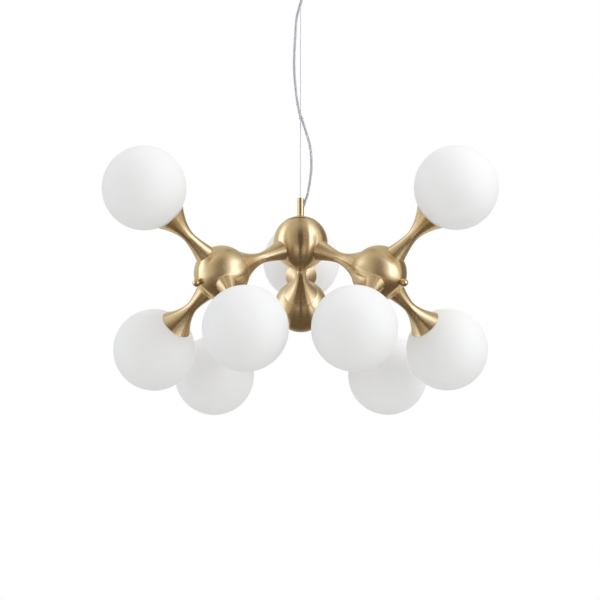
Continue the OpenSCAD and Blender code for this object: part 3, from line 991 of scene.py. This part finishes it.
def globe_outline():
    """Blown globe with a short neck: outside from the neck to the pole, then back inside."""
    join_out = math.sqrt(GLOBE_R ** 2 - GLOBE_NECK_R ** 2)
    inner_r = GLOBE_R - GLOBE_WALL
    join_in = math.sqrt(inner_r ** 2 - GLOBE_NECK_IN_R ** 2)
    start_out = -math.degrees(math.asin(join_out / GLOBE_R))
    start_in = -math.degrees(math.asin(join_in / inner_r))
    neck = rounded([
        (GLOBE_NECK_IN_R, GLOBE_NECK_S + 2), (GLOBE_NECK_IN_R, GLOBE_NECK_S, 0.4),
        (GLOBE_NECK_R, GLOBE_NECK_S, 0.4), (GLOBE_NECK_R, GLOBE_NECK_S + 2),
    ])[1:]
    outer = plain(arc(0, GLOBE_REACH, GLOBE_R, start_out, 90, GLOBE_STEPS))
    inner = plain(arc(0, GLOBE_REACH, inner_r, 90, start_in, GLOBE_STEPS))
    return neck, outer, inner


def add_globe(place_name, place):
    neck, outer, inner = globe_outline()
    outer[-1] = (0, outer[-1][1], 0.0)
    inner[0] = (0, inner[0][1], 0.0)
    outline = inner + neck + outer
    globe = lathe(f"opal_globe_{place_name}", outline, place, closed=False, segments=128)
    finish_piece(globe, f"shade_{place_name}", "opal_glass", OPAL, f"globe_{place_name}")


def add_gasket(place_name, place):
    """Soft ring between the arm's rim and the glass."""
    out_r, in_r = GLOBE_R + SEAT_GAP - GASKET_GAP, GLOBE_R + GASKET_GAP
    from_axis = [math.degrees(math.acos(r / out_r)) for r in (GASKET_OUT_R, GASKET_IN_R)]
    upper = arc(0, GLOBE_REACH, out_r, -from_axis[0], -from_axis[1], 6)
    lower = arc(0, GLOBE_REACH, in_r, -from_axis[1], -from_axis[0], 6)
    gasket = lathe(f"seal_{place_name}", plain(upper + lower), place)
    finish_piece(gasket, f"ring_{place_name}", "silicone", SILICONE, f"gasket_{place_name}")


for side in SIDES:
    add_link_arm(side)
for place_name, place in ARM_PLACES.items():
    add_globe_arm(place_name, place)
    add_globe(place_name, place)
    add_gasket(place_name, place)

# ---- Ceiling fitting ----


def add_canopy():
    """Round cover, open to the ceiling, with holes for the grip and the cord's gland."""
    corner_r, corner_z = CANOPY_R - COVER_CORNER, -CANOPY_H + COVER_CORNER
    inner = COVER_CORNER - COVER_T
    hole_r = GRIP_NECK_R + 0.1
    outline = (
        [(hole_r, -CANOPY_H, 0.0), (hole_r + 3, -CANOPY_H, 0.0)]
        + plain(arc(corner_r, corner_z, COVER_CORNER, -90, 0, 14))
        + rounded([
            (CANOPY_R, corner_z + 2), (CANOPY_R, COVER_RIM_Z, 0.4),
            (CANOPY_R - COVER_T, COVER_RIM_Z, 0.4), (CANOPY_R - COVER_T, corner_z + 2),
        ])
        + plain(arc(corner_r, corner_z, inner, 0, -90, 10))
        + [(hole_r + 3, -CANOPY_H + COVER_T, 0.0), (hole_r, -CANOPY_H + COVER_T, 0.0)]
    )
    canopy = lathe("canopy_shell", outline, Matrix.Identity(4), segments=128)
    drill(canopy, shift(GLAND_X, 0, -CANOPY_H), GLAND_R + FIT, length=5, start=-1)
    finish_piece(canopy, "canopy", "satin_brass", BRASS, "canopy_cover")


def add_grip():
    """Wire grip that hangs in the canopy's hole, with the sprung nose that releases the wire."""
    floor_z = -CANOPY_H - FIT
    neck_floor_z = GRIP_TOP_Z - 7.3
    seat_r, seat_z = 1.45, GRIP_END_Z + 10
    mouth_r, mouth_z = NOSE_R + 0.1, GRIP_END_Z + 2
    body = lathe("grip_barrel", rounded([
        (GRIP_NECK_IN_R, GRIP_TOP_Z, 0.2), (GRIP_NECK_R, GRIP_TOP_Z, 0.3), (GRIP_NECK_R, floor_z),
        (GRIP_FLANGE_R, floor_z, 0.3), (GRIP_FLANGE_R, PIVOT_Z - 0.4, 0.4),
        (GRIP_BARREL_R, PIVOT_Z - 1, 0.4), (GRIP_BARREL_R, GRIP_END_Z + 0.6, 0.3),
        (GRIP_BARREL_R - 0.6, GRIP_END_Z, 0.3), (mouth_r, GRIP_END_Z, 0.2), (mouth_r, mouth_z),
        (SPRING_ROOM_R, mouth_z), (SPRING_ROOM_R, SPRING_ROOM_TOP_Z),
        (NOSE_IN_R, SPRING_ROOM_TOP_Z, 0.2), (seat_r, seat_z), (GRIP_CAVITY_R, seat_z + 1.4),
        (GRIP_CAVITY_R, neck_floor_z), (GRIP_NECK_IN_R, neck_floor_z),
    ]), Matrix.Identity(4), segments=72)
    finish_piece(body, "canopy", "satin_brass", BRASS, "grip_body")
    head_z = NOSE_TOP_Z - NOSE_HEAD_H
    nose = lathe("release_sleeve", rounded([
        (NOSE_IN_R, NOSE_TOP_Z, 0.2), (NOSE_HEAD_R, NOSE_TOP_Z, 0.2), (NOSE_HEAD_R, head_z, 0.2),
        (NOSE_R, head_z, 0.2), (NOSE_R, NOSE_END_Z + 0.6, 0.3), (NOSE_R - 0.6, NOSE_END_Z, 0.3),
        (NOSE_IN_R + 0.9, NOSE_END_Z, 0.2),
    ]), Matrix.Identity(4), segments=48)
    finish_piece(nose, "release", "satin_brass", BRASS, "release_nose")


add_canopy()
add_grip()


def ease_node(name, node, width, body, slot, material):
    finish_piece(eased(name, node, width), body, slot, material, node)


ease_node("bracket_strip", "mounting_bracket", 0.25, "ceiling_base", "zinc_steel", ZINC)
ease_node("nipple_tube", "centre_nipple", 0.25, "ceiling_base", "zinc_steel", ZINC)
ease_node("nipple_lock_nuts", "nipple_nuts", 0.3, "ceiling_base", "zinc_steel", ZINC)
ease_node(
    "connector_block", "terminal_block", 0.4, "ceiling_base", "terminal_plastic", TERMINAL_PLASTIC
)
ease_node("gland_outlet", "cord_gland", 0.25, "canopy", "clear_pvc", CLEAR_PVC)

NODE_MATERIALS = {"wire_stops": STEEL_WIRE, "tie_rods": ZINC, "lock_nuts": ZINC, "arm_pipes": ZINC}
NODE_MATERIALS.update({f"lampholders_{side}": CERAMIC for side in SIDES})
NODE_MATERIALS.update({f"bulbs_{side}": BULB_GLASS for side in SIDES})
for node_name, material in NODE_MATERIALS.items():
    materials = frame["nodes"][node_name].data.materials
    materials.clear()
    materials.append(material)

# ---- Studio ----

FLOOR_Z = -2.4
FLOOR_HALF = 6


def add_floor():
    """Plain pale floor, well below the lamp and out of the picture."""
    bm = bmesh.new()
    bmesh.ops.create_grid(bm, x_segments=1, y_segments=1, size=FLOOR_HALF)
    mesh = bpy.data.meshes.new("studio_floor")
    bm.to_mesh(mesh)
    bm.free()
    floor = add_object("studio_floor", mesh, Matrix.Translation((0, 0, FLOOR_Z)))
    pale = Surface("pale_floor", Roughness=0.8)
    pale.shader.inputs["Base Color"].default_value = (0.86, 0.86, 0.85, 1)
    floor.data.materials.append(pale.material)
    floor.visible_glossy = False


def add_softbox(name, place, size, power):
    """Soft rectangular light at a place round the lamp, facing it."""
    light = bpy.data.lights.new(name, "AREA")
    light.shape = "RECTANGLE"
    light.size, light.size_y = size
    light.energy = power
    lamp = bpy.data.objects.new(name, light)
    away = Vector(place)
    lamp.location = CENTRE + away
    lamp.rotation_euler = away.to_track_quat("Z", "Y").to_euler()
    lamp.visible_glossy = False
    bpy.context.scene.collection.objects.link(lamp)


# Brightness of the room that the metal reflects, by azimuth in degrees from the camera's side.
ROOM = [
    (-180, 0.75), (-124, 0.72), (-112, 0.62), (-103, 1.9), (-83, 1.9), (-74, 0.72), (-50, 0.68),
    (-30, 0.48), (-14, 0.32), (-7, 0.10), (8, 0.10), (14, 0.34), (36, 0.40), (44, 2.5), (70, 2.5),
    (81, 0.95), (100, 0.75), (109, 0.24), (146, 0.28), (164, 0.75), (180, 0.75),
]
ROOM_TOP = 2.6
ROOM_FLOOR = 0.15
ROOM_CEILING = 0.62
CEILING_FROM, CEILING_TO = 0.55, 0.95
FLOOR_TO, FLOOR_FROM = -0.62, -0.22
SOFT_FILL = 0.88
WARM_SHADE = (1, 0.80, 0.68)
NEUTRAL_WALL = (1, 1.02, 0.98)
COOL_LIGHT = (1, 1.12, 1.45)


def add_world():
    """White behind the lamp, soft fill on the glass, and a darker banded room in the metal."""
    world = bpy.data.worlds.new("studio")
    world.use_nodes = True
    tree = world.node_tree
    tree.nodes.clear()

    def add(kind, operation=None, **inputs):
        node = tree.nodes.new(kind)
        if operation:
            node.operation = operation
        for key, value in inputs.items():
            socket = node.inputs[key.replace("_", " ")]
            if isinstance(value, bpy.types.NodeSocket):
                tree.links.new(value, socket)
            else:
                socket.default_value = value
        return node

    def span(value, start, end, low, high):
        node = add(
            "ShaderNodeMapRange", Value=value, From_Min=start, From_Max=end, To_Min=low, To_Max=high
        )
        return node.outputs["Result"]

    def calculate(operation, a, b):
        node = add("ShaderNodeMath", operation)
        for socket, value in zip(node.inputs, (a, b)):
            if isinstance(value, bpy.types.NodeSocket):
                tree.links.new(value, socket)
            else:
                socket.default_value = value
        return node.outputs["Value"]

    def blend(factor, first, second):
        node = add("ShaderNodeMix")
        node.data_type = "RGBA"
        tree.links.new(factor, node.inputs["Factor"])
        for socket, colour in ((node.inputs[6], first), (node.inputs[7], second)):
            if isinstance(colour, tuple):
                socket.default_value = (*colour, 1)
            else:
                tree.links.new(colour, socket)
        return node.outputs[2]

    coords = add("ShaderNodeTexCoord")
    split = add("ShaderNodeSeparateXYZ", Vector=coords.outputs["Generated"])
    x, y, z = split.outputs
    azimuth = calculate("ARCTAN2", x, calculate("MULTIPLY", y, -1))
    curve = add("ShaderNodeFloatCurve", Value=span(azimuth, -math.pi, math.pi, 0, 1))
    points = curve.mapping.curves[0].points
    points[0].location = (0, ROOM[0][1] / ROOM_TOP)
    points[1].location = (1, ROOM[-1][1] / ROOM_TOP)
    for angle, level in ROOM[1:-1]:
        points.new((angle + 180) / 360, level / ROOM_TOP)
    for point in points:
        point.handle_type = "VECTOR"
    curve.mapping.update()
    walls = calculate("MULTIPLY", curve.outputs["Value"], ROOM_TOP)
    overhead = span(z, CEILING_FROM, CEILING_TO, 0, 1)
    upper = calculate(
        "ADD", calculate("MULTIPLY", walls, calculate("SUBTRACT", 1, overhead)),
        calculate("MULTIPLY", overhead, ROOM_CEILING),
    )
    below = span(z, FLOOR_TO, FLOOR_FROM, 1, 0)
    level = calculate(
        "ADD", calculate("MULTIPLY", upper, calculate("SUBTRACT", 1, below)),
        calculate("MULTIPLY", below, ROOM_FLOOR),
    )
    path = add("ShaderNodeLightPath")
    tint = WARM_SHADE
    for start, end, colour in ((0.20, 0.55, NEUTRAL_WALL), (0.80, 1.8, COOL_LIGHT)):
        tint = blend(span(level, start, end, 0, 1), tint, colour)
    room = add("ShaderNodeBackground", Strength=level)
    tree.links.new(tint, room.inputs["Color"])
    soft = add("ShaderNodeBackground", Strength=SOFT_FILL)
    soft.inputs["Color"].default_value = (1, 1, 1, 1)
    white = add("ShaderNodeBackground", Strength=1.0)
    white.inputs["Color"].default_value = (1, 1, 1, 1)
    inside = add("ShaderNodeMixShader", Fac=path.outputs["Is Glossy Ray"])
    tree.links.new(soft.outputs["Background"], inside.inputs[1])
    tree.links.new(room.outputs["Background"], inside.inputs[2])
    seen = add("ShaderNodeMixShader", Fac=path.outputs["Is Camera Ray"])
    tree.links.new(inside.outputs["Shader"], seen.inputs[1])
    tree.links.new(white.outputs["Background"], seen.inputs[2])
    output = add("ShaderNodeOutputWorld")
    tree.links.new(seen.outputs["Shader"], output.inputs["Surface"])
    bpy.context.scene.world = world


add_floor()
add_world()
add_softbox("key_right", place=(2.2, -1.2, 1.1), size=(1.2, 1.8), power=17)
add_softbox("top", place=(0.3, 0.3, 2.2), size=(2.0, 2.0), power=5)
bpy.context.scene.view_settings.view_transform = "Standard"
